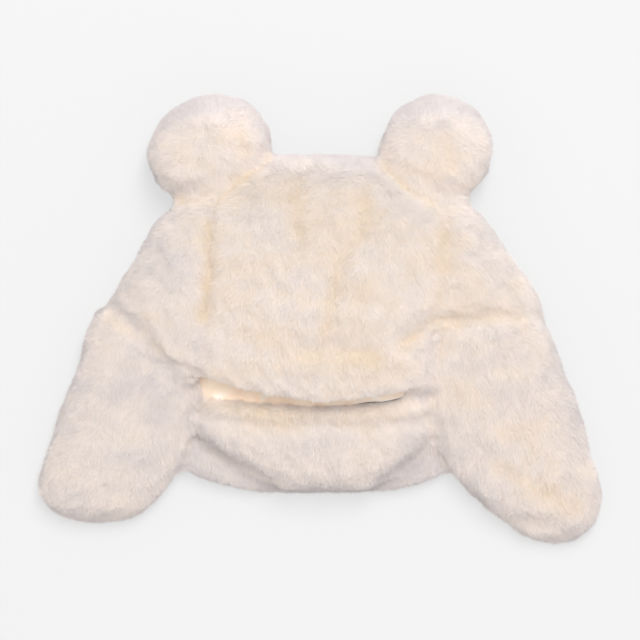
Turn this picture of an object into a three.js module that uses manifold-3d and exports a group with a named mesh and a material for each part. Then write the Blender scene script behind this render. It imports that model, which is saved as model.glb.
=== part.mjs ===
// A winter hat of cream plush fur with two stuffed round ears, two long ear flaps and a fur facing at the
// neck. It lies on its back, face opening towards -Y and ears towards +Y, as a soft hat lies on a table.
// X runs across the hat, Z up from the table, in millimetres. The crown is sewn from a front, two side and
// a back panel around a thin lining. Its hollow is open at the mouth, between the front hem and the facing.
import * as THREE from "three";
import { mergeVertices } from "three/addons/utils/BufferGeometryUtils.js";
import Module from "manifold-3d";

const wasm = await Module();
wasm.setup();

// Driving sizes
const SEAM_GAP = 0.3; // between neighbouring pieces
const RIDGE_Y = 127; // the top seam, where the front and the back panel meet
const HOLLOW_TOP_Y = 114; // inner end of the hollow
const HEM_ROUND = 7; // how far from an edge the fur rolls in
const HEM_SHARE = 0.3; // share of the wall that is left at the edge itself
const SEAM_DIP = 3.5; // the outer fur sinks this much along a seam
const LOCK_HEIGHT = 2.2; // a lock's tip stands this far over its root
const LOCK_ROWS = 3; // grid rows from a lock's root to its tip
const LINING_WALL = 1.2;
const LINING_GAP = 1.5;
const EAR_HALF_HEIGHT = 37;
const EAR_MIDDLE_Z = 36;
const EDGE_STEPS = [2, 5.5, 11]; // fine rows near a rim and near the ridge
const RIDGE_CROWDING = 1.25; // above 1, rows lie closer towards the ridge
const CUT_CLEAR = 0.6; // neighbours that are cut to each other stay this far apart
const CUT_FINENESS = 0.15;
const SLIVER_AREA = 0.01;
const SAME_FACE = 0.97; // cosine between two facets that count as one face
const SHARPEST = 0.4; // a sharp corner is moved no farther than 1 / SHARPEST times its faces
const MERGE_WITHIN = 0.002;
const SEAM_LAP = 2.5; // panels lap this far past a seam before they are cut to it
const SEAM_STATIONS = 22;
const BLOCK_REACH = 9;
const BLOCK_WIDTH = 7;
const LOWEST_Y = -140;

const CREAM = 0xf3e6d6;
const PEACH = 0xf0cfae;

// Outer form of the crown: sections across the hat at each y. edge is the height of the section's widest
// point, and round how full its upper half is. A bottom under the table is pressed flat on it.
const CROWN_ROWS = [
  { y: 127, middle: -13, half: 27, top: 29.15, bottom: 28.85, edge: 29, round: 2.2 },
  { y: 125, middle: -9, half: 43, top: 42, bottom: 17, edge: 29, round: 2.2 },
  { y: 121, middle: -3, half: 62, top: 52, bottom: 8, edge: 30, round: 2.2 },
  { y: 113, middle: 2, half: 85, top: 62, bottom: 1, edge: 31, round: 2.2 },
  { y: 100, middle: 2, half: 104.5, top: 71, bottom: -2, edge: 33, round: 2.2 },
  { y: 77, middle: 1, half: 125, top: 80, bottom: -2, edge: 34, round: 2.2 },
  { y: 46, middle: 3, half: 145.5, top: 86, bottom: -2, edge: 33, round: 2.1 },
  { y: 15, middle: 4, half: 165.5, top: 87, bottom: -2, edge: 29, round: 1.9 },
  { y: -25, middle: 0, half: 180, top: 82, bottom: -2, edge: 24, round: 1.7 },
  { y: -64, middle: 0, half: 184, top: 74, bottom: -2, edge: 22, round: 1.5 },
  { y: -136, middle: 0, half: 188, top: 66, bottom: -2, edge: 22, round: 1.5 },
];

// The hollow inside the crown, in the same columns. Past y = -60 its bottom is the top of the neck edge.
const HOLLOW_ROWS = [
  { y: 114, middle: 5, half: 33, top: 29.15, bottom: 28.85, edge: 29, round: 2.2 },
  { y: 111, middle: 5, half: 46, top: 40, bottom: 20, edge: 29, round: 2.2 },
  { y: 105, middle: 4, half: 64, top: 49, bottom: 15, edge: 30, round: 2.2 },
  { y: 93, middle: 2, half: 90, top: 60, bottom: 12, edge: 32, round: 2.2 },
  { y: 70, middle: 1, half: 113, top: 68, bottom: 12, edge: 33, round: 2.2 },
  { y: 40, middle: 3, half: 133, top: 73, bottom: 12, edge: 32, round: 2.1 },
  { y: 10, middle: 3, half: 151, top: 74, bottom: 12, edge: 29, round: 1.9 },
  { y: -25, middle: 0, half: 165, top: 69, bottom: 12, edge: 25, round: 1.7 },
  { y: -52, middle: 0, half: 170, top: 63, bottom: 12, edge: 24, round: 1.5 },
  { y: -75, middle: 0, half: 173, top: 57, bottom: 20, edge: 24, round: 1.5 },
  { y: -136, middle: 0, half: 176, top: 52, bottom: 20, edge: 24, round: 1.5 },
];
const UNDER_ROUND = 3.2; // how full a section's lower half is

// Where the seams run: x of the two front seams, and of the two back seams under the hat, at each y.
const SEAM_ROWS = [
  { y: 127, frontLeft: -28, frontRight: 37, backLeft: -28, backRight: 37 },
  { y: 113, frontLeft: -60, frontRight: 70, backLeft: -62, backRight: 68 },
  { y: 95, frontLeft: -78, frontRight: 88, backLeft: -84, backRight: 88 },
  { y: 60, frontLeft: -83, frontRight: 93, backLeft: -98, backRight: 102 },
  { y: 8, frontLeft: -86, frontRight: 88, backLeft: -104, backRight: 108 },
  { y: -12, frontLeft: -87, frontRight: 68, backLeft: -106, backRight: 108 },
  { y: -42, frontLeft: -89, frontRight: 67, backLeft: -108, backRight: 106 },
  { y: -66, frontLeft: -89, frontRight: 72, backLeft: -108, backRight: 104 },
  { y: -136, frontLeft: -89, frontRight: 72, backLeft: -108, backRight: 102 },
];
const MOST_OF_WIDTH = 0.86; // a seam's x stays within this share of its section's half width

// Rims of the panels. across runs from 0 at a panel's first seam to 1 at its last.
const FRONT_HEM = [
  { across: 0, y: -53 },
  { across: 0.2, y: -60 },
  { across: 0.42, y: -63 },
  { across: 0.7, y: -58 },
  { across: 0.85, y: -52 },
  { across: 1, y: -42 },
];
const LEFT_SIDE_RIM = [
  { across: 0, y: -38 },
  { across: 0.08, y: -30 },
  { across: 0.17, y: -6 },
  { across: 0.26, y: 7 },
  { across: 0.6, y: 8 },
  { across: 1, y: 2 },
];
const RIGHT_SIDE_RIM = [
  { across: 0, y: 0 },
  { across: 0.4, y: 3 },
  { across: 0.7, y: 3 },
  { across: 1, y: 4 },
];
const NECK_RIM = [
  { across: 0, y: -114 },
  { across: 0.12, y: -121 },
  { across: 0.28, y: -129 },
  { across: 0.5, y: -134.5 },
  { across: 0.7, y: -131.5 },
  { across: 0.88, y: -123 },
  { across: 1, y: -114 },
];

// Ear flaps: stuffed pads, cut across at each y.
const LEFT_FLAP_ROWS = [
  { y: 14, middle: -142, half: 10, thick: 34 },
  { y: 11, middle: -141, half: 27, thick: 44 },
  { y: 2, middle: -139, half: 36, thick: 50 },
  { y: -10, middle: -140, half: 40, thick: 53 },
  { y: -25, middle: -138.5, half: 44.5, thick: 54 },
  { y: -42, middle: -138.5, half: 50.5, thick: 52 },
  { y: -61, middle: -144, half: 53, thick: 48 },
  { y: -77, middle: -149, half: 54, thick: 45 },
  { y: -92, middle: -154, half: 54.5, thick: 43 },
  { y: -108, middle: -159, half: 54, thick: 41 },
  { y: -123, middle: -165.5, half: 53, thick: 39 },
  { y: -132, middle: -169, half: 50, thick: 37 },
  { y: -140, middle: -171, half: 44, thick: 34 },
  { y: -149, middle: -172, half: 35, thick: 29 },
  { y: -154.5, middle: -172, half: 24, thick: 22 },
  { y: -157, middle: -172, half: 9, thick: 13 },
];
const RIGHT_FLAP_ROWS = [
  { y: 14, middle: 126, half: 9, thick: 34 },
  { y: 11, middle: 126, half: 32, thick: 50 },
  { y: 3, middle: 125, half: 46, thick: 60 },
  { y: -7, middle: 122, half: 54, thick: 63 },
  { y: -23, middle: 123, half: 59, thick: 61 },
  { y: -38, middle: 127.5, half: 61, thick: 58 },
  { y: -50, middle: 133, half: 61, thick: 55 },
  { y: -62, middle: 137.5, half: 60.5, thick: 52 },
  { y: -77, middle: 143, half: 60, thick: 48 },
  { y: -92, middle: 147, half: 60, thick: 45 },
  { y: -108, middle: 152, half: 59, thick: 43 },
  { y: -123, middle: 161, half: 55, thick: 41 },
  { y: -138, middle: 169, half: 50, thick: 39 },
  { y: -148, middle: 174, half: 44, thick: 36 },
  { y: -156, middle: 179, half: 36, thick: 31 },
  { y: -165, middle: 181, half: 26.5, thick: 25 },
  { y: -170.5, middle: 183, half: 17, thick: 18 },
  { y: -173, middle: 184, half: 7, thick: 11 },
];
const FLAP_ROUND = 2.5;
const PAD_AROUND = 16;
const FLAP_LENGTHS = 16;

// Neck facing: a padded crescent on the neck edge, cut lengthways at each x.
const FACING_ROWS = [
  { x: -99, top: -64, bottom: -82, crest: 27 },
  { x: -93, top: -58, bottom: -90, crest: 36 },
  { x: -76, top: -54, bottom: -102, crest: 42 },
  { x: -58, top: -55, bottom: -112, crest: 45 },
  { x: -38, top: -57, bottom: -122, crest: 47 },
  { x: -16, top: -58, bottom: -129, crest: 48 },
  { x: 8, top: -58, bottom: -131.5, crest: 48 },
  { x: 32, top: -57, bottom: -128, crest: 47 },
  { x: 52, top: -56, bottom: -119, crest: 46 },
  { x: 70, top: -55, bottom: -108, crest: 43 },
  { x: 84, top: -58, bottom: -93, crest: 37 },
  { x: 91, top: -64, bottom: -84, crest: 28 },
];
const FACING_BASE_Z = 15;
const FACING_ROUND = 2.3;
const FACING_AROUND = 14;
const FACING_LENGTHS = 16;

// Dents and folds pressed into whatever lies face up, as straight stretches seen from above. A negative
// depth is a raised fold.
const CREASES = [
  { name: "left seam valley, upper", x1: -84, y1: 76, x2: -85, y2: 45, depth: 5, width: 8 },
  { name: "left seam valley, lower", x1: -85, y1: 45, x2: -88, y2: 6, depth: 7, width: 8 },
  { name: "short dent under the left ear", x1: -19, y1: 97, x2: -16, y2: 70, depth: 4.5, width: 7 },
  { name: "short dent under the right ear", x1: 34, y1: 94, x2: 35, y2: 84, depth: 4, width: 7 },
  { name: "long crease, upper", x1: 35, y1: 73, x2: 14, y2: 46, depth: 4, width: 7 },
  { name: "long crease, lower", x1: 12, y1: 44, x2: 3, y2: -15, depth: 4, width: 7 },
  { name: "fold over the brim", x1: -12, y1: -24, x2: 43, y2: -27, depth: 5.5, width: 6 },
  { name: "brim corner fold", x1: 61, y1: -18, x2: 76, y2: -5, depth: 5, width: 6 },
  { name: "right seam valley", x1: 94, y1: 86, x2: 90, y2: 12, depth: 3, width: 7 },
  { name: "puff beside the long crease", x1: 30, y1: 30, x2: 34, y2: -6, depth: -3, width: 16 },
  { name: "right flap root fold", x1: 90, y1: 2, x2: 150, y2: 2, depth: 5, width: 7 },
  { name: "right flap short fold", x1: 93, y1: -6, x2: 91, y2: -27, depth: 3, width: 6 },
  { name: "right flap puff", x1: 140, y1: -35, x2: 158, y2: -40, depth: -3, width: 20 },
  { name: "right flap end crease", x1: 136, y1: -112, x2: 196, y2: -142, depth: 4.5, width: 8 },
  { name: "right flap tip crease", x1: 164, y1: -156, x2: 182, y2: -160, depth: 3, width: 5 },
  { name: "left flap root fold", x1: -160, y1: 6, x2: -124, y2: -20, depth: 5, width: 8 },
  { name: "left flap groove", x1: -132, y1: -24, x2: -142, y2: -86, depth: 5, width: 13 },
  { name: "left ear dent", x1: -64, y1: 152, x2: -58, y2: 130, depth: 3, width: 9 },
  { name: "right ear dent", x1: 94, y1: 140, x2: 99, y2: 122, depth: 2, width: 10 },
];

const EAR_AROUND = 16;
const EAR_LENGTHS = 12;
const EARS = {
  ear_left: { x: -85.5, y: 131, halfAcross: 48.5, halfAlong: 41, turnDeg: 24 },
  ear_right: { x: 90, y: 130.5, halfAcross: 43, halfAlong: 42.5, turnDeg: -18 },
};

// Smooth value of one column at a place along a table, by cubic steps between its rows.
function along(rows, key, column, at) {
  const up = rows[rows.length - 1][key] > rows[0][key] ? rows : [...rows].reverse();
  const last = up.length - 1;
  const x = THREE.MathUtils.clamp(at, up[0][key], up[last][key]);
  const found = up.findIndex((row, i) => i > 0 && x <= row[key]);
  const i = Math.max(found, 1);
  const slope = (a, b) => (up[b][column] - up[a][column]) / (up[b][key] - up[a][key]);
  // A row's slope is kept flat at a peak and gentle at a bend, so the curve never overshoots.
  const tangent = (k) => {
    if (k === 0) return slope(0, 1);
    if (k === last) return slope(last - 1, last);
    const before = slope(k - 1, k);
    const after = slope(k, k + 1);
    return before * after <= 0 ? 0 : (2 * before * after) / (before + after);
  };
  const step = up[i][key] - up[i - 1][key];
  const t = (x - up[i - 1][key]) / step;
  const [t2, t3] = [t * t, t * t * t];
  return (
    up[i - 1][column] * (2 * t3 - 3 * t2 + 1) +
    tangent(i - 1) * step * (t3 - 2 * t2 + t) +
    up[i][column] * (3 * t2 - 2 * t3) +
    tangent(i) * step * (t3 - t2)
  );
}

// How deep the creases press at a place seen from above.
function creaseDepth(x, y) {
  let depth = 0;
  for (const c of CREASES) {
    const [dx, dy] = [c.x2 - c.x1, c.y2 - c.y1];
    const t = THREE.MathUtils.clamp(((x - c.x1) * dx + (y - c.y1) * dy) / (dx * dx + dy * dy), 0, 1);
    const away = Math.hypot(x - c.x1 - t * dx, y - c.y1 - t * dy) / c.width;
    depth += c.depth * Math.exp(-away * away);
  }
  return depth;
}

// Rise of the staggered fur locks at a grid point. j counts along the lie of the fur, i across it.
function lockRise(i, j) {
  const stagger = i % 2 ? 1 : 0;
  const phase = ((j + stagger) % LOCK_ROWS) / (LOCK_ROWS - 1);
  return LOCK_HEIGHT * (phase - 0.5);
}

// Presses what faces up into its creases and keeps the rest on the table.
function settle(point, facesUp) {
  if (facesUp) point.z -= creaseDepth(point.x, point.y);
  point.z = Math.max(point.z, 0);
  return point;
}

// Point of a crown section at angle t, counted from the hat's right edge over the top.
function crownPoint(rows, t, y, grow = 0) {
  const row = (column) => along(rows, "y", column, y);
  const upper = Math.sin(t) >= 0;
  const power = 2 / (upper ? row("round") : UNDER_ROUND);
  const rise = upper ? row("top") + grow - row("edge") : row("edge") - row("bottom") + grow;
  const swell = (v) => Math.sign(v) * Math.abs(v) ** power;
  return new THREE.Vector3(
    row("middle") + (row("half") + grow) * swell(Math.cos(t)),
    y,
    row("edge") + rise * swell(Math.sin(t)),
  );
}

// Angle at which a crown section passes x, over the top or under the hat.
function angleAt(rows, x, y, upper) {
  const half = along(rows, "y", "half", y);
  const share = (x - along(rows, "y", "middle", y)) / half;
  const kept = THREE.MathUtils.clamp(share, -MOST_OF_WIDTH, MOST_OF_WIDTH);
  const power = upper ? along(rows, "y", "round", y) : UNDER_ROUND;
  const t = Math.acos(Math.sign(kept) * Math.abs(kept) ** (power / 2));
  return upper ? t : 2 * Math.PI - t;
}

// Start and end of each crown panel, as seams.
const PANELS = {
  crown_front: {
    from: ["frontRight", true],
    to: ["frontLeft", true],
    rim: FRONT_HEM,
    columns: 18,
    rows: 20,
  },
  crown_side_left: {
    from: ["frontLeft", true],
    to: ["backLeft", false],
    rim: LEFT_SIDE_RIM,
    columns: 12,
    rows: 14,
  },
  crown_back: {
    from: ["backLeft", false],
    to: ["backRight", false],
    rim: NECK_RIM,
    columns: 14,
    rows: 16,
  },
  crown_side_right: {
    from: ["backRight", false],
    to: ["frontRight", true],
    rim: RIGHT_SIDE_RIM,
    columns: 12,
    rows: 14,
  },
};

// Distances from the rim of a panel's grid rows, fine near both ends.
function rowDistances(length, rows) {
  const inner = rows - 2 * EDGE_STEPS.length;
  const reach = EDGE_STEPS.at(-1);
  const middle = Array.from(
    { length: inner - 1 },
    (_, k) => reach + (length - 2 * reach) * (1 - (1 - (k + 1) / inner) ** RIDGE_CROWDING),
  );
  return [0, ...EDGE_STEPS, ...middle, ...[...EDGE_STEPS].reverse().map((d) => length - d), length];
}

// Point of a seam at y on the outer form or on the hollow. A panel laps past its seams by overlap until it
// is cut.
function seamAngle(table, [column, upper], y, overlap = 0) {
  const angle = angleAt(table, along(SEAM_ROWS, "y", column, y), y, upper);
  const step = 0.02;
  const speed = crownPoint(table, angle, y).distanceTo(crownPoint(table, angle + step, y)) / step;
  return angle + overlap / speed;
}

// One panel of the crown: a padded wall between the outer form and the hollow, rolled in at its rim and
// sunk along its seams.
function panelGeometry({ from, to, rim, columns, rows }) {
  const outer = [];
  const inner = [];
  for (let i = 0; i <= columns; i++) {
    const rimY = along(rim, "across", "y", i / columns);
    const length = RIDGE_Y - rimY;
    const distances = rowDistances(length, rows);
    const line = (table, endY) =>
      distances.map((distance) => {
        const y = rimY + (distance * (endY - rimY)) / length;
        const start = seamAngle(table, from, y, -SEAM_LAP);
        const end = seamAngle(table, to, y, SEAM_LAP);
        const sweep = end < start ? end + 2 * Math.PI - start : end - start;
        return crownPoint(table, start + (sweep * i) / columns, y);
      });
    outer.push(line(CROWN_ROWS, RIDGE_Y));
    inner.push(line(HOLLOW_ROWS, HOLLOW_TOP_Y));
    const atSeam = i === 0 || i === columns;
    for (let j = 0; j <= rows; j++) {
      const [out, back] = [outer[i][j], inner[i][j]];
      const away = out.clone().sub(back).normalize();
      const facesUp = out.z > back.z;
      if (atSeam && j < rows) out.addScaledVector(away, -SEAM_DIP);
      else if (j < rows) out.addScaledVector(away, lockRise(i, rows - j));
      const middle = out.clone().add(back).multiplyScalar(0.5);
      const roll = Math.sqrt(1 - (1 - Math.min(distances[j] / HEM_ROUND, 1)) ** 2);
      const kept = HEM_SHARE + (1 - HEM_SHARE) * roll;
      for (const point of [out, back]) point.sub(middle).multiplyScalar(kept).add(middle);
      settle(out, facesUp);
    }
  }
  return wallGeometry(outer, inner);
}

// A block that runs along the front and the back seam of one side, round the ridge, from a face near the
// seam to one farther off, both as distances to the right. It cuts a panel off where it laps past its seam.
function seamBlock([front, back], nearFace, farFace) {
  const down = Array.from({ length: SEAM_STATIONS }, (_, k) => (k + 1) / SEAM_STATIONS);
  const upTheFront = down.toReversed().map((share) => [front, share]);
  const stations = [...upTheFront, [front, 0], ...down.map((share) => [back, share])];
  const lines = stations.map(([seam, share]) => {
    const at = (table, top) => {
      const y = top + (LOWEST_Y - top) * share ** 1.8;
      return crownPoint(table, seamAngle(table, seam, y), y);
    };
    const [out, inside] = [at(CROWN_ROWS, RIDGE_Y), at(HOLLOW_ROWS, HOLLOW_TOP_Y)];
    const reach = out.clone().sub(inside).setLength(BLOCK_REACH);
    return [inside.sub(reach), out.add(reach)];
  });
  const rings = lines.map(([low, high], k) => {
    const [before, after] = [lines[Math.max(k - 1, 0)], lines[Math.min(k + 1, lines.length - 1)]];
    const tangent = after[1].clone().add(after[0]).sub(before[1]).sub(before[0]);
    const right = tangent.cross(high.clone().sub(low)).normalize();
    const shifted = (point, distance) => point.clone().addScaledVector(right, distance);
    const [nearLow, nearHigh] = [low, high].map((point) => shifted(point, nearFace));
    const [farLow, farHigh] = [low, high].map((point) => shifted(point, farFace));
    return [nearLow, nearHigh, farHigh, farLow];
  });
  return ringGeometry(rings);
}

// Closed wall between two grids of the same size.
function wallGeometry(outer, inner) {
  const [columns, rows] = [outer.length - 1, outer[0].length - 1];
  const points = [];
  const faces = [];
  const index = (side, i, j) => (side * (columns + 1) + i) * (rows + 1) + j;
  for (const grid of [outer, inner]) for (const line of grid) points.push(...line);
  const quad = (a, b, c, d) => faces.push(a, b, c, a, c, d);
  for (let i = 0; i < columns; i++) {
    for (let j = 0; j < rows; j++) {
      quad(index(0, i, j), index(0, i, j + 1), index(0, i + 1, j + 1), index(0, i + 1, j));
      quad(index(1, i, j), index(1, i + 1, j), index(1, i + 1, j + 1), index(1, i, j + 1));
    }
    quad(index(0, i, 0), index(0, i + 1, 0), index(1, i + 1, 0), index(1, i, 0));
    quad(index(0, i, rows), index(1, i, rows), index(1, i + 1, rows), index(0, i + 1, rows));
  }
  for (let j = 0; j < rows; j++) {
    quad(index(0, 0, j), index(1, 0, j), index(1, 0, j + 1), index(0, 0, j + 1));
    quad(index(0, columns, j), index(0, columns, j + 1), index(1, columns, j + 1), index(1, columns, j));
  }
  return geometryFrom(points, faces);
}

// Closed skin over rings of points, with each end drawn together in a point.
function ringGeometry(rings) {
  const around = rings[0].length;
  const points = rings.flat();
  const faces = [];
  for (let j = 0; j < rings.length - 1; j++) {
    for (let i = 0; i < around; i++) {
      const [a, b] = [j * around + i, j * around + ((i + 1) % around)];
      faces.push(a, b, b + around, a, b + around, a + around);
    }
  }
  const middleOf = (ring) =>
    ring.reduce((sum, p) => sum.add(p), new THREE.Vector3()).multiplyScalar(1 / ring.length);
  const lastRing = (rings.length - 1) * around;
  points.push(middleOf(rings[0]), middleOf(rings[rings.length - 1]));
  for (let i = 0; i < around; i++) {
    const next = (i + 1) % around;
    faces.push(points.length - 2, next, i);
    faces.push(points.length - 1, lastRing + i, lastRing + next);
  }
  return geometryFrom(points, faces);
}

function geometryFrom(points, faces) {
  const geometry = new THREE.BufferGeometry().setFromPoints(points);
  return geometry.setIndex(faces);
}

// Between a three.js geometry and a solid that can be cut.
function solidOf(geometry) {
  const bare = new THREE.BufferGeometry()
    .setAttribute("position", geometry.getAttribute("position"))
    .setIndex(geometry.index);
  const merged = mergeVertices(bare, MERGE_WITHIN);
  const solid = new wasm.Manifold(
    new wasm.Mesh({
      numProp: 3,
      vertProperties: merged.attributes.position.array,
      triVerts: new Uint32Array(merged.index.array),
    }),
  );
  if (solid.volume() > 0) return solid;
  const turned = merged.index.array;
  for (let k = 0; k < turned.length; k += 3) {
    [turned[k + 1], turned[k + 2]] = [turned[k + 2], turned[k + 1]];
  }
  return solidOf(merged);
}

function geometryOf(solid) {
  const mesh = solid.getMesh();
  return new THREE.BufferGeometry()
    .setAttribute("position", new THREE.BufferAttribute(new Float32Array(mesh.vertProperties), 3))
    .setIndex(new THREE.BufferAttribute(new Uint32Array(mesh.triVerts), 1));
}

// The largest body that is left of a form once others are cut from it.
function cutBy(geometry, others) {
  const left = others.reduce((solid, other) => solid.subtract(solidOf(other)), solidOf(geometry));
  return geometryOf(left.decompose().sort((a, b) => b.volume() - a.volume())[0]);
}

// A stuffed form cut clear of its neighbours. Its finest facets are merged, so it is cut once more to what
// is there.
function fitted(geometry, neighbours) {
  const cleared = solidOf(cutBy(geometry, neighbours.map(grown))).simplify(CUT_FINENESS);
  return cutBy(geometryOf(cleared), neighbours);
}

// A form with every face moved outwards, for cutting a neighbour clear of it.
function grown(geometry) {
  const form = mergeVertices(geometryOf(solidOf(geometry)), MERGE_WITHIN);
  const points = form.attributes.position;
  const corners = Array.from({ length: points.count }, () => []);
  for (let k = 0; k < form.index.count; k += 3) {
    const at = [0, 1, 2].map((n) => form.index.getX(k + n));
    const triangle = new THREE.Triangle().setFromAttributeAndIndices(points, ...at);
    const facing = triangle.getNormal(new THREE.Vector3());
    for (const corner of triangle.getArea() > SLIVER_AREA ? at : []) {
      if (corners[corner].every((known) => known.dot(facing) < SAME_FACE)) corners[corner].push(facing);
    }
  }
  corners.forEach((facings, k) => {
    const way = facings.reduce((sum, facing) => sum.add(facing), new THREE.Vector3()).normalize();
    const least = Math.min(1, ...facings.map((facing) => facing.dot(way)));
    const moved = new THREE.Vector3().fromBufferAttribute(points, k);
    moved.addScaledVector(way, CUT_CLEAR / Math.max(least, SHARPEST));
    points.setXYZ(k, moved.x, moved.y, moved.z);
  });
  return form;
}

// Lining: a thin pocket just inside the panels, whose front edge shows under the front hem.
const LINING_AROUND = 32;
const LINING_LENGTHS = 9;
const LINING_TOP_Y = HOLLOW_TOP_Y - 5;
const LINING_RIM = [
  { turn: 0, y: 8 },
  { turn: 0.13, y: 2 },
  { turn: 0.19, y: -48 },
  { turn: 0.24, y: -64 },
  { turn: 0.31, y: -63 },
  { turn: 0.36, y: -50 },
  { turn: 0.42, y: -12 },
  { turn: 0.5, y: 12 },
  { turn: 0.58, y: 6 },
  { turn: 0.66, y: -38 },
  { turn: 0.84, y: -38 },
  { turn: 0.92, y: 6 },
  { turn: 1, y: 8 },
];

function liningPoint(i, j, inwards) {
  const turn = i / LINING_AROUND;
  const rim = along(LINING_RIM, "turn", "y", turn);
  const share = j / LINING_LENGTHS;
  const y = rim + (LINING_TOP_Y - rim) * (1 - (1 - share) ** 1.3);
  const shrink = LINING_GAP + inwards;
  return crownPoint(HOLLOW_ROWS, 2 * Math.PI * turn, y - inwards * share, -shrink);
}

function liningGeometry() {
  const skin = (inwards) =>
    Array.from({ length: LINING_LENGTHS + 1 }, (_, j) =>
      Array.from({ length: LINING_AROUND }, (_, i) => liningPoint(i, j, inwards)),
    );
  const [outer, inner] = [skin(0), skin(LINING_WALL)];
  // Down the outside from the closed end to the rim, then back up the inside.
  return ringGeometry([...outer.reverse(), ...inner]);
}

// What the lining encloses, for keeping the stuffed pieces out of the hollow.
function hollowPlug() {
  const rings = Array.from({ length: LINING_LENGTHS + 1 }, (_, j) =>
    Array.from({ length: LINING_AROUND }, (_, i) => liningPoint(i, j, -CUT_CLEAR)),
  );
  return ringGeometry(rings);
}

// Ring of a stuffed piece: an oval that bulges towards its corners by fullness.
function padRing(around, fullness, place) {
  const swell = (v) => Math.sign(v) * Math.abs(v) ** (2 / fullness);
  return Array.from({ length: around }, (_, i) => {
    const t = (2 * Math.PI * i) / around;
    return place(swell(Math.cos(t)), swell(Math.sin(t)), i);
  });
}

function flapGeometry(rows) {
  const [root, tip] = [rows[0].y, rows.at(-1).y];
  const rings = Array.from({ length: FLAP_LENGTHS + 1 }, (_, j) => {
    const share = j / FLAP_LENGTHS;
    const y = root + (tip - root) * (share - 0.11 * Math.sin(2 * Math.PI * share));
    const row = (column) => along(rows, "y", column, y);
    return padRing(PAD_AROUND, FLAP_ROUND, (across, up, i) => {
      const locks = lockRise(i, j);
      const z = row("thick") / 2 - 1 + (row("thick") / 2 + locks) * up;
      return settle(new THREE.Vector3(row("middle") + (row("half") + locks) * across, y, z), up > 0);
    });
  });
  return ringGeometry(rings);
}

function facingGeometry() {
  const [left, right] = [FACING_ROWS[0].x, FACING_ROWS.at(-1).x];
  const rings = Array.from({ length: FACING_LENGTHS + 1 }, (_, j) => {
    const x = left + ((right - left) * j) / FACING_LENGTHS;
    const row = (column) => along(FACING_ROWS, "x", column, x);
    const [half, rise] = [(row("top") - row("bottom")) / 2, (row("crest") - FACING_BASE_Z) / 2];
    return padRing(FACING_AROUND, FACING_ROUND, (across, up, i) => {
      const locks = lockRise(j, i) / 2;
      const y = (row("top") + row("bottom")) / 2 + (half + locks) * across;
      return new THREE.Vector3(x, y, FACING_BASE_Z + rise + (rise + locks) * up);
    });
  });
  return ringGeometry(rings);
}

// An ear: a stuffed ball, turned as it lies, with its fur running from its root to its far side.
function earGeometry({ x, y, halfAcross, halfAlong, turnDeg }) {
  const turn = THREE.MathUtils.degToRad(turnDeg);
  const acrossWay = new THREE.Vector3(Math.cos(turn), Math.sin(turn), 0);
  const alongWay = new THREE.Vector3(-Math.sin(turn), Math.cos(turn), 0);
  const rings = Array.from({ length: EAR_LENGTHS }, (_, j) => {
    const polar = Math.PI * (1 - (j + 1) / (EAR_LENGTHS + 1));
    return padRing(EAR_AROUND, 2, (across, up, i) => {
      const swell = 1 + lockRise(i, j) / halfAcross;
      const point = new THREE.Vector3(x, y, EAR_MIDDLE_Z)
        .addScaledVector(acrossWay, halfAcross * Math.sin(polar) * across * swell)
        .addScaledVector(alongWay, halfAlong * Math.cos(polar) * swell);
      point.z += EAR_HALF_HEIGHT * Math.sin(polar) * up * swell;
      return settle(point, up > 0);
    });
  });
  return ringGeometry(rings);
}

const fur = new THREE.MeshStandardMaterial({ color: CREAM, roughness: 0.95, metalness: 0 });
const lining = new THREE.MeshStandardMaterial({ color: PEACH, roughness: 0.6, metalness: 0 });
const hat = new THREE.Group();

function add(name, geometry, material) {
  const mesh = new THREE.Mesh(geometryOf(solidOf(geometry)), material);
  mesh.name = name;
  hat.add(mesh);
}

const LEFT_SEAMS = [
  ["frontLeft", true],
  ["backLeft", false],
];
const RIGHT_SEAMS = [
  ["frontRight", true],
  ["backRight", false],
];
const outwards = [
  seamBlock(LEFT_SEAMS, SEAM_GAP / 2, -BLOCK_WIDTH),
  seamBlock(RIGHT_SEAMS, -SEAM_GAP / 2, BLOCK_WIDTH),
];
const cuts = {
  crown_front: outwards,
  crown_side_left: [seamBlock(LEFT_SEAMS, -SEAM_GAP / 2, BLOCK_WIDTH)],
  crown_back: outwards,
  crown_side_right: [seamBlock(RIGHT_SEAMS, SEAM_GAP / 2, -BLOCK_WIDTH)],
};
const panels = Object.entries(PANELS).map(([name, panel]) => {
  return [name, cutBy(panelGeometry(panel), cuts[name])];
});
for (const [name, geometry] of panels) add(name, geometry, fur);
const pocket = liningGeometry();
add("lining", pocket, lining);

const crown = [...panels.map(([, geometry]) => geometry), hollowPlug(), pocket];
const flapLeft = fitted(flapGeometry(LEFT_FLAP_ROWS), crown);
const flapRight = fitted(flapGeometry(RIGHT_FLAP_ROWS), crown);
add("flap_left", flapLeft, fur);
add("flap_right", flapRight, fur);
for (const [name, ear] of Object.entries(EARS)) add(name, fitted(earGeometry(ear), crown), fur);
add("neck_facing", fitted(facingGeometry(), [...crown, flapLeft, flapRight]), fur);

export default hat;
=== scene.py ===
import math

import bmesh
import bpy
import numpy as np
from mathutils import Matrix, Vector
from mathutils.bvhtree import BVHTree


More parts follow.
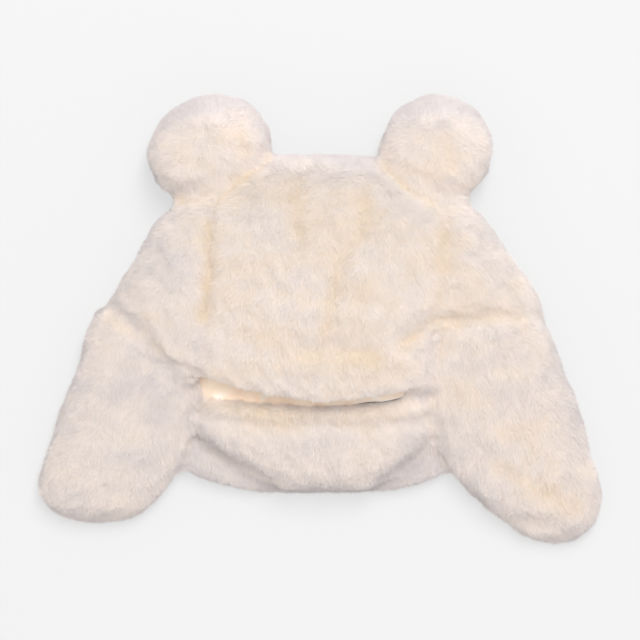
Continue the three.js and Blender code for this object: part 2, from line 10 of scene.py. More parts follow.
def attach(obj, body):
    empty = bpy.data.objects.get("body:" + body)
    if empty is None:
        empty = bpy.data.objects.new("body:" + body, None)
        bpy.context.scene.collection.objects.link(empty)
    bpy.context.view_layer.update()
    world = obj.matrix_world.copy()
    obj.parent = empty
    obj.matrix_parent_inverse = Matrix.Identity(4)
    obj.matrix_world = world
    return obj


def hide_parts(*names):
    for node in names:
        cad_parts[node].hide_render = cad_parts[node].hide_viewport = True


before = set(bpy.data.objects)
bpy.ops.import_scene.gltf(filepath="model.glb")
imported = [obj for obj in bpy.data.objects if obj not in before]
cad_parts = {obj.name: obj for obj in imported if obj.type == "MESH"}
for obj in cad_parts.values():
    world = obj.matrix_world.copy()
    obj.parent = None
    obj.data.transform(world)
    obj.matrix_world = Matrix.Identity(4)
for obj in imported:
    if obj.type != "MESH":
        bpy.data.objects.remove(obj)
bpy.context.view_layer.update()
scene = bpy.context.scene
MM = 0.001

# The table and the light
# A plain pale table top. The camera hangs straight above it on a long lens, as for a catalogue picture. One wide
# soft light hangs overhead and reaches out beyond the ears, and pale walls all round fill the shadows.
PICTURE_WIDTH = 492.8 * MM  # what the picture takes in, at half the hat's height
CAMERA_HEIGHT = 2.7
HALF_HAT = 40 * MM
SENSOR = 36.0
TABLE_HALF = 4
TABLE_GREY = (0.22, 0.22, 0.22, 1)
TABLE_GLOW = 0.59
SOFTBOX_WIDTH = 0.8
SOFTBOX_LENGTH = 2.0
SOFTBOX_POWER = 82
SOFTBOX_PLACE = (0.35, 1.05, 2.8)
WALL_LIGHT = 0.68
WHITE = (1, 1, 1, 1)

camera = bpy.data.cameras.new("camera")
camera.sensor_width = SENSOR
camera.lens = SENSOR * (CAMERA_HEIGHT - HALF_HAT) / PICTURE_WIDTH
camera.clip_end = 50
camera_stand = bpy.data.objects.new("camera", camera)
camera_stand.location = (0, 0, CAMERA_HEIGHT)
scene.collection.objects.link(camera_stand)
scene.camera = camera_stand

table = bpy.data.meshes.new("table_top")
table_corners = [(x * TABLE_HALF, y * TABLE_HALF, 0) for x, y in ((-1, -1), (1, -1), (1, 1), (-1, 1))]
table.from_pydata(table_corners, [], [(0, 1, 2, 3)])
table_top = bpy.data.objects.new("table_top", table)
scene.collection.objects.link(table_top)
table_paint = bpy.data.materials.new("pale_table")
table_paint.use_nodes = True
table_shader = table_paint.node_tree.nodes["Principled BSDF"]
table_shader.inputs["Base Color"].default_value = TABLE_GREY
table_shader.inputs["Roughness"].default_value = 0.9
table_shader.inputs["Emission Color"].default_value = WHITE
table_shader.inputs["Emission Strength"].default_value = TABLE_GLOW
table_shader.inputs["Specular IOR Level"].default_value = 0.1
table.materials.append(table_paint)

softbox = bpy.data.lights.new("softbox", "AREA")
softbox.shape = "RECTANGLE"
softbox.size = SOFTBOX_WIDTH
softbox.size_y = SOFTBOX_LENGTH
softbox.energy = SOFTBOX_POWER
softbox_stand = bpy.data.objects.new("softbox", softbox)
softbox_stand.location = SOFTBOX_PLACE
softbox_stand.rotation_euler = (-softbox_stand.location).to_track_quat("-Z", "Y").to_euler()
scene.collection.objects.link(softbox_stand)

room = bpy.data.worlds.new("room")
room.use_nodes = True
room.node_tree.nodes["Background"].inputs["Color"].default_value = WHITE
room.node_tree.nodes["Background"].inputs["Strength"].default_value = WALL_LIGHT
scene.world = room
scene.view_settings.view_transform = "Standard"
scene.cycles.max_bounces = 16
scene.cycles.diffuse_bounces = 10
scene.cycles.transmission_bounces = 10

# The crown's front panel
# Plush fur: a knitted backing cloth with a dense, soft pile on it, cream at the tips and warmer at the roots.
# The panel is padded and sewn into the crown by its two side seams and the top seam. Its pile is brushed from the
# top seam down to the hem, where it hangs over the edge as a fringe.
BACKING_GRAIN = 2.8 * MM
SEWN_BY = 2 * MM  # the pieces are let out by this much where they are sewn, so that they meet
SMOOTHED = 4  # rounds of smoothing of the sewn backing
PADDED_EVERY = 5 * MM
PILE_DEPTH = 2.3 * MM  # the backing lies this far under the fur's outer surface
THIN_SHARE = 0.4  # or this share of the way through where the piece is thin
FRINGE = 3 * MM  # and this much further where the pile hangs over an edge
FRINGE_FROM = 8 * MM
FRINGE_FULL = 24 * MM  # the fringe is full from this height up
COVERED_WITHIN = 4 * MM  # no pile grows where another piece lies this close on top
TABLE_CLEAR = 0.4 * MM
EVENED = 10  # rounds in which the pile evens out the small bends of the backing
EVENED_IN_FOLDS = 2

FRONT_HAIRS = 165000
HAIR_LENGTH = 6.5 * MM
HAIR_WIDTH = 0.8 * MM
HAIR_LIFT = math.radians(27)  # how steeply the hairs stand on the backing
SETTLED_LAY = 0.6  # a brushing stroke this strong settles the hairs fully
HAIR_ROLL = 0.15  # how much the hairs are rolled about their length
FACES_UP = 0.9  # how far the light takes a hair to face up
UNDER_HAT = 9 * MM  # below this height, what faces the table has fewer hairs
UNDER_HAT_SHARE = 0.12

SHADE = 0.46  # the shade of a hair: 0 is the warmest cream, 1 the coolest
# Patches of another shade: how much, how far apart, and the seed of their places
SHADE_PATCHES = [(0.09, 70 * MM, 5), (0.06, 22 * MM, 6), (0.05, 9 * MM, 9)]
PAINTED_FOLD_SHADE = 150  # painted shade in the folds: how much warmer and darker the shade is for each metre of a fold's depth
PAINTED_SHADE_OVER_EDGE = 0.3  # and painted shade: how much cooler and darker where the pile turns over the far edge
# painted shade: cooler and darker where the cloth faces away from straight up, a little warmer where it faces up
PAINTED_SHADE_ON_SIDES = 0.4
BACKING_SHADE = 0.35
UP_HAIR = [0.05, 0.97, 0.05]  # V of the map at a hair's three corners


def ripple(points, length, seed):
    """Soft unevenness between about -1 and 1, whose bumps are about length apart."""
    waves = 7
    height = 2.6
    dice = np.random.default_rng(seed)
    ways = dice.normal(size=(waves, 3))
    ways *= (2 * math.pi / length) / np.linalg.norm(ways, axis=1, keepdims=True)
    ways *= dice.uniform(0.7, 1.4, size=(waves, 1))
    return np.sin(points @ ways.T + dice.uniform(0, 2 * math.pi, waves)).sum(axis=1) / height


def unit(vectors):
    return vectors / np.maximum(np.linalg.norm(vectors, axis=1, keepdims=True), 1e-9)


def solid_of(node):
    """A node's solid, with the corners of its faces joined."""
    joined = bmesh.new()
    joined.from_mesh(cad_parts[node].data)
    bmesh.ops.remove_doubles(joined, verts=joined.verts, dist=0.01 * MM)
    solid = bpy.data.meshes.new("solid")
    joined.to_mesh(solid)
    joined.free()
    return solid


def backing_cloth(nodes, padding):
    """The nodes' solids and the padding, sewn into one smooth closed cloth: its points, triangles and outward
    directions. Each line of padding is a row of balls."""
    points = []
    faces = []
    for start_at, end_at, thick in padding:
        start_at, end_at = Vector(start_at) * MM, Vector(end_at) * MM
        balls = 1 + math.ceil((end_at - start_at).length / PADDED_EVERY)
        for place in np.linspace(0, 1, balls):
            ball = bmesh.new()
            bmesh.ops.create_icosphere(ball, subdivisions=3, radius=thick / 2 * MM)
            start = len(points)
            points += [v.co + start_at.lerp(end_at, place) for v in ball.verts]
            faces += [[start + v.index for v in f.verts] for f in ball.faces]
            ball.free()
    for node in nodes:
        solid = solid_of(node)
        start = len(points)
        points += [v.co + v.normal * SEWN_BY for v in solid.vertices]
        faces += [[start + v for v in p.vertices] for p in solid.polygons]
    sewn = bpy.data.meshes.new("sewn")
    sewn.from_pydata(points, [], faces)
    form = bpy.data.objects.new("form", sewn)
    scene.collection.objects.link(form)
    even = form.modifiers.new("even", "REMESH")
    even.mode = "VOXEL"
    even.voxel_size = BACKING_GRAIN
    soft = form.modifiers.new("soft", "SMOOTH")
    soft.factor = 0.5
    soft.iterations = SMOOTHED
    bpy.context.view_layer.update()
    cloth = bpy.data.meshes.new_from_object(form.evaluated_get(bpy.context.evaluated_depsgraph_get()))
    cloth.calc_loop_triangles()
    points = np.empty(len(cloth.vertices) * 3)
    cloth.vertices.foreach_get("co", points)
    outward = np.empty(len(cloth.vertices) * 3)
    cloth.vertices.foreach_get("normal", outward)
    triangles = np.empty(len(cloth.loop_triangles) * 3, dtype=np.int64)
    cloth.loop_triangles.foreach_get("vertices", triangles)
    bpy.data.objects.remove(form)
    bpy.data.meshes.remove(cloth)
    outward = outward.reshape(-1, 3)
    return points.reshape(-1, 3) - outward * SEWN_BY, triangles.reshape(-1, 3), outward


def solids_of(nodes):
    """The solids of some nodes as one tree, and the name of each of its faces' node."""
    points = []
    faces = []
    names = []
    for node in nodes:
        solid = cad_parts[node].data
        start = len(points)
        points += [v.co for v in solid.vertices]
        faces += [[start + v for v in p.vertices] for p in solid.polygons]
        names += [node] * len(solid.polygons)
    return BVHTree.FromPolygons(points, faces), names


def pile(roots, upright, lay, length, seed):
    """The tips of hairs from their roots. Each lies over into the lay, and any way where the lay is undecided."""
    dice = np.random.default_rng(seed)
    count = len(roots)
    lay = lay - upright * np.sum(lay * upright, axis=1, keepdims=True)
    settled = np.clip(np.linalg.norm(lay, axis=1) / SETTLED_LAY, 0, 1)
    lay = unit(lay)
    side = np.cross(upright, lay)
    turn = 0.25 * ripple(roots, 26 * MM, seed + 1) + 0.2 * ripple(roots, 9 * MM, seed + 2)
    turn = (turn + dice.normal(0, 1.2 - 0.9 * settled))[:, None]
    lift = (HAIR_LIFT + 0.05 * ripple(roots, 12 * MM, seed + 3) + dice.normal(0, 0.1, count))[:, None]
    long = (length * (1 + 0.05 * ripple(roots, 15 * MM, seed + 4) + dice.normal(0, 0.14, count)))[:, None]
    way = lay * np.cos(turn) + side * np.sin(turn)
    return roots + long * (way * np.cos(lift) + upright * np.sin(lift))


def outward_of(points, triangles):
    """The outward directions at the points of a cloth."""
    corners = points[triangles]
    slants = np.cross(corners[:, 1] - corners[:, 0], corners[:, 2] - corners[:, 0])
    outward = np.zeros_like(points)
    for corner in range(3):
        np.add.at(outward, triangles[:, corner], slants)
    return unit(outward)


def evened(outward, triangles, rounds):
    """The outward directions at the points of a cloth, evened out over their neighbours."""
    for _ in range(rounds):
        summed = outward.copy()
        for corner in range(3):
            beside = outward[triangles[:, corner - 1]] + outward[triangles[:, corner - 2]]
            for axis in range(3):
                summed[:, axis] += np.bincount(triangles[:, corner], beside[:, axis], len(outward))
        outward = unit(summed)
    return outward


def cut_out(nodes, folds, padding):
    """The sewn cloth of some nodes, taken in under the pile, pressed in along its folds and shared out by node."""
    points, triangles, outward = backing_cloth(nodes, padding)
    tree, names = solids_of(nodes)
    others = solids_of([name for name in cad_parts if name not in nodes])[0]
    node_of = np.array([names[tree.find_nearest(point)[2]] for point in points.tolist()])
    own = BVHTree.FromPolygons(points.tolist(), triangles.tolist())
    bare = np.array([
        others.ray_cast(p, n, COVERED_WITHIN)[0] is not None for p, n in zip(map(Vector, points), map(Vector, outward))
    ])
    deep = np.full(len(points), PILE_DEPTH)
    for k, (point, out) in enumerate(zip(map(Vector, points), map(Vector, outward))):
        through = own.ray_cast(point - out * 0.3 * MM, -out, 0.05)[3]
        if through:
            deep[k] = min(PILE_DEPTH, THIN_SHARE * through)
    hanging = np.clip((points[:, 2] - FRINGE_FROM) / (FRINGE_FULL - FRINGE_FROM), 0, 1)
    deep += FRINGE * np.clip(-outward[:, 1], 0, 1) * hanging
    deep[bare] = 0
    crease = near_fold(points, folds)
    pressed = crease * np.clip(outward[:, 2], 0, 1)
    sunk = points - outward * deep[:, None]
    sunk[:, 2] -= pressed
    sunk[:, 2] = np.maximum(sunk[:, 2], TABLE_CLEAR)

    # The pile evens out the backing's small bends, but not the folds.
    plain = outward_of(sunk + [0, 0, 1] * pressed[:, None], triangles)
    bent = evened(outward_of(sunk, triangles), triangles, EVENED_IN_FOLDS) - evened(plain, triangles, EVENED_IN_FOLDS)
    outward = unit(evened(plain, triangles, EVENED) + bent)
    return {
        "points": sunk, "triangles": triangles, "outward": outward, "bare": bare, "node": node_of, "crease": crease
    }


def near_fold(points, folds):
    """How deep the folds are at each point, in metres. A fold is a line from above, with its depth and width."""
    deep = np.zeros(len(points))
    for x1, y1, x2, y2, depth, width in folds:
        start = np.array([x1, y1]) * MM
        way = np.array([x2, y2]) * MM - start
        along = np.clip((points[:, :2] - start) @ way / (way @ way), 0, 1)
        off = np.linalg.norm(points[:, :2] - start - along[:, None] * way, axis=1)
        deep = np.maximum(deep, depth * MM * np.exp(-(off / (width * MM)) ** 2))
    return deep


def plush(cloth, node, lay, furry, hairs, seed, length=HAIR_LENGTH, cool=0.0):
    """One furry piece in place of a node: its share of a sewn cloth, and the hairs on it. lay gives the way they are
    brushed, furry says where they grow, and cool is how much cooler they are, as a number or a function of place. On
    some pieces cool holds painted shade, cooler and darker."""
    mine = (cloth["node"][cloth["triangles"]] == node).sum(axis=1) >= 2
    kept, triangles = np.unique(cloth["triangles"][mine], return_inverse=True)
    triangles = triangles.reshape(-1, 3)
    points = cloth["points"][kept]
    outward = cloth["outward"][kept]
    free = ~cloth["bare"][kept] & furry(points, outward)

    # Roots, spread evenly over the cloth that shows. Few grow under the hat.
    dice = np.random.default_rng(seed)
    corners = points[triangles]
    area = np.linalg.norm(np.cross(corners[:, 1] - corners[:, 0], corners[:, 2] - corners[:, 0]), axis=1)
    share = area * free[triangles].mean(axis=1)
    under = (outward[triangles].mean(axis=1)[:, 2] < -0.55) & (corners[:, :, 2].mean(axis=1) < UNDER_HAT)
    share[under] *= UNDER_HAT_SHARE
    count = int(hairs * (1))
    on = np.sort(dice.choice(len(triangles), count, p=share / share.sum()))
    a, b = dice.random((2, count))
    a, b = np.where(a + b > 1, 1 - a, a), np.where(a + b > 1, 1 - b, b)
    weights = np.stack([1 - a - b, a, b], axis=1)[:, :, None]
    roots = (corners[on] * weights).sum(axis=1)
    upright = unit((outward[triangles[on]] * weights).sum(axis=1))
    tip = pile(roots, upright, lay(roots, upright), length, seed)
    facing = unit(upright + [0, 0, FACES_UP] * (1 + upright[:, 2:]) / 2)
    turned = unit(facing + dice.normal(0, HAIR_ROLL, (count, 3)))
    across = unit(np.cross(tip - roots, turned)) * (HAIR_WIDTH / 2 * dice.uniform(0.7, 1.3, (count, 1)))
    hair = np.stack([roots + across, tip, roots - across], axis=1).reshape(-1, 3)
    hair[:, 2] = np.maximum(hair[:, 2], TABLE_CLEAR)

    # The shade of each hair
    tone = np.full(count, SHADE)
    for strength, apart, patch_seed in SHADE_PATCHES:
        tone += strength * ripple(roots, apart, patch_seed)
    # A little at random, and painted shade on the sides: cooler and darker.
    tone += dice.normal(0, 0.04, count) - PAINTED_SHADE_ON_SIDES * (upright[:, 2] - 0.8)
    # Painted shade over the far edge: cooler and darker.
    tone += PAINTED_SHADE_OVER_EDGE * np.clip(2 * upright[:, 1] - 1, 0, 1)
    # Painted shade in the folds: warmer and darker.
    tone -= PAINTED_FOLD_SHADE * (cloth["crease"][kept][triangles[on]] * weights[:, :, 0]).sum(axis=1)
    # The piece's own cooling, which holds painted shade on some pieces.
    tone += cool(roots) if callable(cool) else cool
    tone = np.clip(tone, 0.02, 0.98)
    cloth_tone = np.clip(BACKING_SHADE + 0.12 * ripple(points, 40 * MM, 7), 0.02, 0.98)

    # The cloth and its hairs, as one mesh
    mesh = bpy.data.meshes.new(node + "_fur")
    blades = len(points) + np.arange(3 * count).reshape(-1, 3)
    faces = np.concatenate([triangles, blades])
    places = np.concatenate([points, hair])
    mesh.vertices.add(len(places))
    mesh.vertices.foreach_set("co", places.ravel())
    mesh.loops.add(faces.size)
    mesh.loops.foreach_set("vertex_index", faces.ravel())
    mesh.polygons.add(len(faces))
    mesh.polygons.foreach_set("loop_start", 3 * np.arange(len(faces)))
    mesh.update()
    hair_tone = tone[:, None] + np.array([0.004, 0, -0.004])
    shade = np.concatenate([
        np.stack([cloth_tone, 0.03 + 0.02 * ripple(points, 6 * MM, 8)], axis=1),
        np.stack([hair_tone.ravel(), np.tile(UP_HAIR, count)], axis=1),
    ])
    mesh.uv_layers.new(name="OFBake").data.foreach_set("uv", np.clip(shade, 0.005, 0.995)[faces.ravel()].ravel())
    facing = unit(facing + dice.normal(0, 0.08, (count, 3)))
    facing = np.concatenate([outward, np.repeat(facing, 3, axis=0)])
    mesh.polygons.foreach_set("use_smooth", np.ones(len(faces), dtype=bool))
    mesh.normals_split_custom_set_from_vertices(facing.tolist())
    piece = bpy.data.objects.new(node + "_fur", mesh)
    scene.collection.objects.link(piece)
    piece.data.materials.append(cream_fur)
    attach(piece, "root")
    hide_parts(node)
    return piece


# Cream acrylic fur. U of its map is the shade of a hair, and V runs from its root to its tip. Light shines half
# through it.
# The coolest stops are greyer and darker, and the warmest are darker too; painted shade, as well as patches at random,
# moves hairs towards them.
ROOT_COLOURS = [(0.96, 0.855, 0.70), (0.975, 0.905, 0.842), (0.86, 0.81, 0.795)]
TIP_COLOURS = [(0.985, 0.905, 0.80), (0.982, 0.94, 0.912), (0.87, 0.832, 0.83)]
SHINES_THROUGH = 0.5

cream_fur = bpy.data.materials.new("cream_fur")
cream_fur.use_nodes = True
fur_nodes = cream_fur.node_tree.nodes
fur_links = cream_fur.node_tree.links
fur_shader = fur_nodes["Principled BSDF"]
fur_shader.inputs["Roughness"].default_value = 0.85
fur_shader.inputs["Specular IOR Level"].default_value = 0.15
hair_map = fur_nodes.new("ShaderNodeUVMap")
hair_map.uv_map = "OFBake"
place_on_hair = fur_nodes.new("ShaderNodeSeparateXYZ")
fur_links.new(hair_map.outputs["UV"], place_on_hair.inputs["Vector"])


def shades(stops):
    """A ramp over the shade of a hair."""
    ramp = fur_nodes.new("ShaderNodeValToRGB")
    ramp.color_ramp.elements[0].color = (*stops[0], 1)
    ramp.color_ramp.elements[1].color = (*stops[2], 1)
    ramp.color_ramp.elements.new(0.5).color = (*stops[1], 1)
    fur_links.new(place_on_hair.outputs["X"], ramp.inputs["Fac"])
    return ramp.outputs["Color"]


root_to_tip = fur_nodes.new("ShaderNodeMix")
root_to_tip.data_type = "RGBA"
fur_links.new(place_on_hair.outputs["Y"], root_to_tip.inputs["Factor"])
fur_links.new(shades(ROOT_COLOURS), root_to_tip.inputs["A"])
fur_links.new(shades(TIP_COLOURS), root_to_tip.inputs["B"])
fur_links.new(root_to_tip.outputs["Result"], fur_shader.inputs["Base Color"])
glow = fur_nodes.new("ShaderNodeBsdfTranslucent")
fur_links.new(root_to_tip.outputs["Result"], glow.inputs["Color"])
thin_hair = fur_nodes.new("ShaderNodeMixShader")
thin_hair.inputs["Fac"].default_value = SHINES_THROUGH
fur_links.new(fur_shader.outputs["BSDF"], thin_hair.inputs[1])
fur_links.new(glow.outputs["BSDF"], thin_hair.inputs[2])
fur_links.new(thin_hair.outputs["Shader"], fur_nodes["Material Output"].inputs["Surface"])

# The line through the middle of the hollow, which ends before the top seam
HOLLOW_MIDDLE_X = 3 * MM
HOLLOW_MIDDLE_Z = 34 * MM
HOLLOW_END_Y = 95 * MM


def outside_of_crown(points, outward):
    """The crown's outer side and its edges, and not what faces the hollow."""
    middle = np.stack([
        np.full(len(points), HOLLOW_MIDDLE_X),
        np.minimum(points[:, 1], HOLLOW_END_Y),
        np.full(len(points), HOLLOW_MIDDLE_Z),
    ], axis=1)
    return np.sum(unit(points - middle) * outward, axis=1) > -0.2


def brushed(x, y, over=0.6):
    """The pile brushed one way over the top. It falls down the sides that it is brushed towards, keeps its way over
    the edge that it comes from, where over is its share of the fall, and is pressed back underneath."""

    def lay(roots, upright):
        fall = np.clip(over - 2 * upright[:, 1:2], over, 1)
        ways = np.concatenate([np.full_like(fall, x), np.full_like(fall, y), -fall], axis=1)
        return np.where(upright[:, 2:] < -0.3, [-x, -y, -1], ways)

    return lay


# The folds and the sunk seams of the whole hat, seen from above: each runs from one point to the other, and has a
# depth and a width, in mm.
FOLDS = [
    (-84, 76, -85, 45, 2, 7),  # the left front seam
    (-85, 45, -88, 6, 3.5, 7),
    (-19, 98, -16, 68, 2, 9),  # the front panel
    (34, 98, 35, 80, 2, 10),
    (35, 73, 14, 46, 1.5, 6),
    (14, 46, 3, -15, 1.5, 6),
    (-12, -24, 43, -27, 2, 8),
    (61, -18, 76, -5, 2, 5),
    (94, 86, 90, 12, 1.5, 8),  # the right front seam
    (-108, 93, -77, 92, 2, 4),  # the left ear's seam
    (-77, 92, -69, 98, 2, 4),
    (-69, 98, -60, 108, 2, 4),
    (-60, 108, -43, 117, 2.5, 4),
    (-43, 117, -42, 125, 3, 4),
    (52, 120, 67, 102, 2.5, 4),  # the right ear's seam
    (67, 102, 80, 93, 2, 4),
    (80, 93, 96, 89, 1.5, 4),
    (-64, 152, -58, 130, 1.5, 6),  # the ears
    (94, 140, 99, 122, 1.5, 6),
    (-160, 6, -124, -20, 1.5, 6),  # the left flap
    (-132, -24, -142, -86, 1.5, 8),
    (90, 4, 150, 4, 1.5, 9),  # the right flap
    (93, -6, 91, -27, 1.5, 5),
    (140, -35, 158, -40, 1, 8),
    (136, -112, 196, -142, 2, 8),
    (164, -156, 182, -160, 1.5, 6),
    (-86, -60, -50, -67, 0.6, 8),  # the facing, under the lining
    (-50, -67, 12, -71, 0.6, 8),
    (12, -71, 66, -63, 0.6, 8),
]
# Padding fills the gaps where the pieces are sewn on one another. Each line of it has its ends, each with x, y and z,
# and its thickness, in mm.
PADDING = [
    ((72, 2, 59), (70, -46, 54), 24),  # the front panel's right end
    ((78, 2, 57), (76, -46, 49), 24),
    ((85, -2, 52), (82, -46, 44), 24),
    ((92, -3, 48), (89, -46, 42), 24),
    ((78, 1, 58), (100, 1, 53), 24),  # the right flap's root
    ((100, 1, 53), (134, 1, 47), 24),
    ((92, -7, 51), (112, -8, 49), 24),
    ((112, -8, 49), (134, -8, 47), 24),
    ((-134, 3, 43), (-119, -16, 48), 24),  # the left flap's root
    ((-119, -16, 48), (-100, -34, 49), 24),
    ((-138, -5, 40), (-124, -22, 43), 24),
    ((-124, -22, 43), (-102, -42, 42), 24),
    ((-88, -56, 32), (-76, -66, 37), 22),  # the facing's upper edge
    ((-76, -66, 37), (-40, -71, 41), 23),
    ((-40, -71, 41), (40, -71, 41), 24),
    ((40, -71, 41), (72, -65, 40), 24),
    ((-92, -86, 14), (-56, -110, 17), 20),  # the facing's lower edge
    ((-56, -110, 17), (-24, -120, 27), 25),
    ((-24, -121, 26), (34, -121, 26), 28),
    ((34, -120, 27), (58, -113, 18), 24),
    ((60, -110, 20), (84, -94, 18), 22),
]
OUTER_NODES = [
    "crown_front", "crown_side_left", "crown_side_right", "crown_back", "ear_left", "ear_right", "flap_left",
    "flap_right", "neck_facing",
]
outer = cut_out(OUTER_NODES, FOLDS, PADDING)
crown_front = plush(outer, "crown_front", brushed(0, -1, over=0.8), outside_of_crown, FRONT_HAIRS, seed=11)

# The crown's side panels
# The same padded plush, sewn in from the front seams round to the back seams, with an ear flap at each lower edge.
# Each panel is brushed down and out, towards its flap.
SIDE_HAIRS = 75000
COOL_ON_LEFT_SIDE = 0.12
COOL_ON_RIGHT_SIDE = 0.06

crown_side_left = plush(
    outer, "crown_side_left", brushed(-0.12, -1), outside_of_crown, SIDE_HAIRS, cool=COOL_ON_LEFT_SIDE, seed=21
)
crown_side_right = plush(
    outer, "crown_side_right", brushed(0.12, -1), outside_of_crown, SIDE_HAIRS, cool=COOL_ON_RIGHT_SIDE, seed=31
)

# The crown's back panel
# The same padded plush, sewn to the side panels and along the top seam. It carries the hat on the table, and runs on
# past the hem as the neck edge, which is furry on both sides.
BACK_HAIRS = 62000
NECK_FROM_Y = -48 * MM
# painted shade at the neck edge
PAINTED_SHADE_AT_NECK = 0.4


def outside_or_neck(points, outward):
    return outside_of_crown(points, outward) | (points[:, 1] < NECK_FROM_Y)


def shaded_at_neck(points):
    """Painted shade: the colour cools and darkens towards the neck edge."""
    return PAINTED_SHADE_AT_NECK * np.clip((NECK_FROM_Y - points[:, 1]) / (30 * MM), 0, 1)


crown_back = plush(
    outer, "crown_back", brushed(0, -1, over=0.8), outside_or_neck, BACK_HAIRS, cool=shaded_at_neck, seed=41
)

# The ears
# Two balls of the same plush, stuffed firm and sewn to the corners of the crown. Their pile is shorter, and falls to
# all sides.
EAR_HAIRS = 75000
EAR_HAIR_LENGTH = 6 * MM
EARS_FROM_Y = 95 * MM
COOL_ON_EARS = 0.12
# painted shade on the ears' tops
PAINTED_SHADE_AT_EAR_TOPS = 0.45
EAR_TOPS_FROM = 48 * MM  # from the ears' seam


def all_round(points, outward):
    return np.ones(len(points), dtype=bool)


def cooler_and_shaded_at_ears(points):
    """The colour cools from the seam with the crown up to the ears' tops, where painted shade also darkens them."""
    up = points[:, 1] - EARS_FROM_Y
    at_top = np.clip((up - EAR_TOPS_FROM) / (25 * MM), 0, 1)
    return COOL_ON_EARS * np.clip(up / (25 * MM), 0, 1) + PAINTED_SHADE_AT_EAR_TOPS * at_top


ear_left = plush(
    outer, "ear_left", brushed(-0.05, -0.4, over=0.8), all_round, EAR_HAIRS, length=EAR_HAIR_LENGTH,
    cool=cooler_and_shaded_at_ears, seed=51,
)
ear_right = plush(
    outer, "ear_right", brushed(0.05, -0.4, over=0.8), all_round, EAR_HAIRS, length=EAR_HAIR_LENGTH,
    cool=cooler_and_shaded_at_ears, seed=61,
)

# The ear flaps
# Long pads of the same plush, stuffed all through and furry on both faces. They are sewn to the side panels' lower
# edges, and lie splayed out on the table.
LEFT_FLAP_HAIRS = 115000
RIGHT_FLAP_HAIRS = 125000
COOL_ON_LEFT_FLAP = 0.17
COOL_ON_RIGHT_FLAP = 0.15
# painted shade in the groove along the left flap's inner fold: its middle, its size, and how much cooler and darker
SHADED_GROOVE = np.array([-135, -40]) * MM
SHADED_GROOVE_SIZE = np.array([18, 55]) * MM
PAINTED_GROOVE_SHADE = 0.3


def cooler_with_shaded_groove(points):
    """The left flap's own cooling, and painted shade, cooler and darker, along the fold on the inner side of its upper
    half.
    """
    off = (points[:, :2] - SHADED_GROOVE) / SHADED_GROOVE_SIZE
    return COOL_ON_LEFT_FLAP + PAINTED_GROOVE_SHADE * np.exp(-np.sum(off**2, axis=1))


flap_left = plush(outer, "flap_left", brushed(-0.35, -1), all_round, LEFT_FLAP_HAIRS, cool=cooler_with_shaded_groove, seed=71)
flap_right = plush(
    outer, "flap_right", brushed(0.3, -1), all_round, RIGHT_FLAP_HAIRS, cool=COOL_ON_RIGHT_FLAP, seed=81
)

# The neck facing
# A padded crescent of the same plush, sewn inside the neck edge. It shows through the mouth of the hat, below the
# lining.
FACING_HAIRS = 70000
COOL_ON_FACING = 0.2
WARM_UNDER_LINING = 0.25
UNDER_LINING_Y = -88 * MM


def warmer_under_lining(points):
    """The satin's peach light warms the shade towards the mouth, and the neck edge is cool."""
    return COOL_ON_FACING - WARM_UNDER_LINING * np.clip((points[:, 1] - UNDER_LINING_Y) / (20 * MM), 0, 1)


neck_facing = plush(
    outer, "neck_facing", brushed(0, -1), all_round, FACING_HAIRS, cool=warmer_under_lining, seed=91
)

# The lining
# A pocket of thin peach satin inside the crown. Its front edge is folded over, comes out under the hem and hangs
# down on the facing. It is sewn in at both ends of the mouth.
UPPER_SIDE_Z = 40 * MM
DRAWN_FROM_Y = -10 * MM
HANGS_ABOVE_HEM = 6 * MM  # the edge starts to hang this far inside the hem
HANGS_WITHIN = 10 * MM
EDGE_HANGS = 11 * MM
HANG_BENDS = 1.5
FOLDED_EDGE = 1.5 * MM
LEFT_END_X = -88 * MM
RIGHT_END_X = 69 * MM
TUCKED_WITHIN = 10 * MM
TUCKED_BACK = 16 * MM
TUCKED_DOWN = 0.3  # as a share of the way back
TUCKED_TO_Y = 25 * MM
PRESSED_FROM_X = 60 * MM
PRESSED_WITHIN = 10 * MM
PRESSED_DOWN = 7 * MM
LINING_FOLDS = 0.7 * MM
# At each x, in mm: the y of the hem over the lining, and how far its edge is drawn out beyond the pocket's
HEM_OVER_LINING = [(-92, -40), (-84, -46), (-70, -50), (-45, -56), (0, -63), (35, -60), (66, -55), (76, -44)]
DRAWN_OUT = [
    (-90, 13), (-80, 12), (-70, 9), (-60, 6), (-50, 4), (0, 4), (20, 7), (40, 12), (50, 17), (60, 25), (68, 30),
    (76, 8),
]

satin_lining = bpy.data.objects.new("satin_lining", solid_of("lining"))
scene.collection.objects.link(satin_lining)
finer = satin_lining.modifiers.new("finer", "SUBSURF")
finer.levels = 2
finer.render_levels = 2
finer.subdivision_type = "SIMPLE"
soft = satin_lining.modifiers.new("soft", "SMOOTH")
soft.factor = 0.5
soft.iterations = 3
bpy.context.view_layer.update()
smooth_lining = bpy.data.meshes.new_from_object(satin_lining.evaluated_get(bpy.context.evaluated_depsgraph_get()))
satin_lining.modifiers.clear()
satin_lining.data = smooth_lining

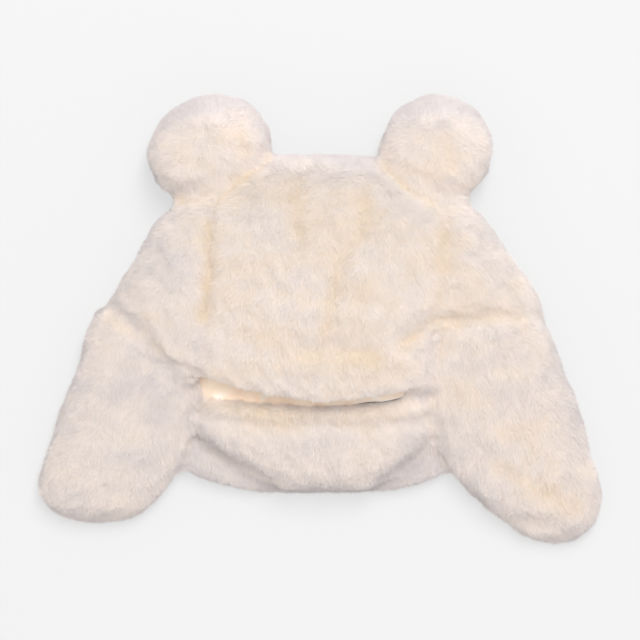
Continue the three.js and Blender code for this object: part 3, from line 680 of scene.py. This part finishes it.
# Its edge is drawn out and hangs over the hem's line, its ends are tucked in, and small folds run across it.
places = np.empty(len(smooth_lining.vertices) * 3)
smooth_lining.vertices.foreach_get("co", places)
places = places.reshape(-1, 3)
upper = places[:, 2] > UPPER_SIDE_Z
across_mouth = places[:, 0].copy()
near_edge = np.clip((DRAWN_FROM_Y - places[:, 1]) / (20 * MM), 0, 1) * upper
places[:, 1] -= np.interp(across_mouth / MM, *zip(*DRAWN_OUT)) * MM * near_edge
tucked = np.clip(np.maximum(LEFT_END_X - across_mouth, across_mouth - RIGHT_END_X) / TUCKED_WITHIN, 0, 1)
tucked *= places[:, 1] < TUCKED_TO_Y
places[:, 1] += TUCKED_BACK * tucked
places[:, 2] -= TUCKED_DOWN * TUCKED_BACK * tucked
places[:, 2] -= PRESSED_DOWN * np.clip((across_mouth - PRESSED_FROM_X) / PRESSED_WITHIN, 0, 1) * upper
hem_y = np.interp(across_mouth / MM, *zip(*HEM_OVER_LINING)) * MM
hanging = np.clip((hem_y + HANGS_ABOVE_HEM - places[:, 1]) / HANGS_WITHIN, 0, 1) * upper
places[:, 2] -= EDGE_HANGS * hanging**HANG_BENDS
places[:, 2] += LINING_FOLDS * ripple(places * [1, 0.25, 0.25], 30 * MM, 3) * near_edge
places[:, 1] += LINING_FOLDS * ripple(places * [1, 0.2, 0.2], 22 * MM, 4) * near_edge
smooth_lining.vertices.foreach_set("co", places.ravel())
smooth_lining.update()
smooth_lining.polygons.foreach_set("use_smooth", np.ones(len(smooth_lining.polygons), dtype=bool))

# Peach satin, paler along its folded edge, with painted shade of soft folds in patches between its shaded and lit
# colours. U of its map is that painted shade, and V rises towards the edge.
SATIN_SHADED = (0.92, 0.68, 0.50, 1)
SATIN_LIT = (0.97, 0.82, 0.66, 1)
SATIN_EDGE = (0.98, 0.92, 0.85, 1)
EDGE_STEP = 4 * MM  # the edge is found anew at each step along the mouth

columns = np.round(across_mouth / EDGE_STEP).astype(int)
columns -= columns.min()
front_edge = np.full(columns.max() + 1, np.inf)
np.minimum.at(front_edge, columns[upper], places[upper, 1])
to_edge = np.clip(1 - (places[:, 1] - front_edge[columns]) / FOLDED_EDGE, 0, 1) * upper
# Painted shade of soft folds, in patches.
satin_fold_shade = 0.5 + 0.2 * ripple(places, 14 * MM, 12) + 0.12 * ripple(places, 5 * MM, 13)
satin_map = np.clip(np.stack([satin_fold_shade, to_edge], axis=1), 0.01, 0.99)
corners_of = np.empty(len(smooth_lining.loops), dtype=np.int64)
smooth_lining.loops.foreach_get("vertex_index", corners_of)
smooth_lining.uv_layers.new(name="OFBake").data.foreach_set("uv", satin_map[corners_of].ravel())

peach_satin = bpy.data.materials.new("peach_satin")
peach_satin.use_nodes = True
satin_nodes = peach_satin.node_tree.nodes
satin_links = peach_satin.node_tree.links
satin_shader = satin_nodes["Principled BSDF"]
satin_shader.inputs["Roughness"].default_value = 0.6
satin_shader.inputs["Sheen Weight"].default_value = 0.2
cloth_place = satin_nodes.new("ShaderNodeUVMap")
cloth_place.uv_map = "OFBake"
place_on_satin = satin_nodes.new("ShaderNodeSeparateXYZ")
satin_colour = satin_nodes.new("ShaderNodeValToRGB")
satin_colour.color_ramp.elements[0].color = SATIN_SHADED
satin_colour.color_ramp.elements[1].color = SATIN_LIT
folded_pale = satin_nodes.new("ShaderNodeMix")
folded_pale.data_type = "RGBA"
folded_pale.inputs["B"].default_value = SATIN_EDGE
satin_links.new(cloth_place.outputs["UV"], place_on_satin.inputs["Vector"])
satin_links.new(place_on_satin.outputs["X"], satin_colour.inputs["Fac"])
satin_links.new(place_on_satin.outputs["Y"], folded_pale.inputs["Factor"])
satin_links.new(satin_colour.outputs["Color"], folded_pale.inputs["A"])
satin_links.new(folded_pale.outputs["Result"], satin_shader.inputs["Base Color"])
smooth_lining.materials.clear()
smooth_lining.materials.append(peach_satin)
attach(satin_lining, "root")
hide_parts("lining")
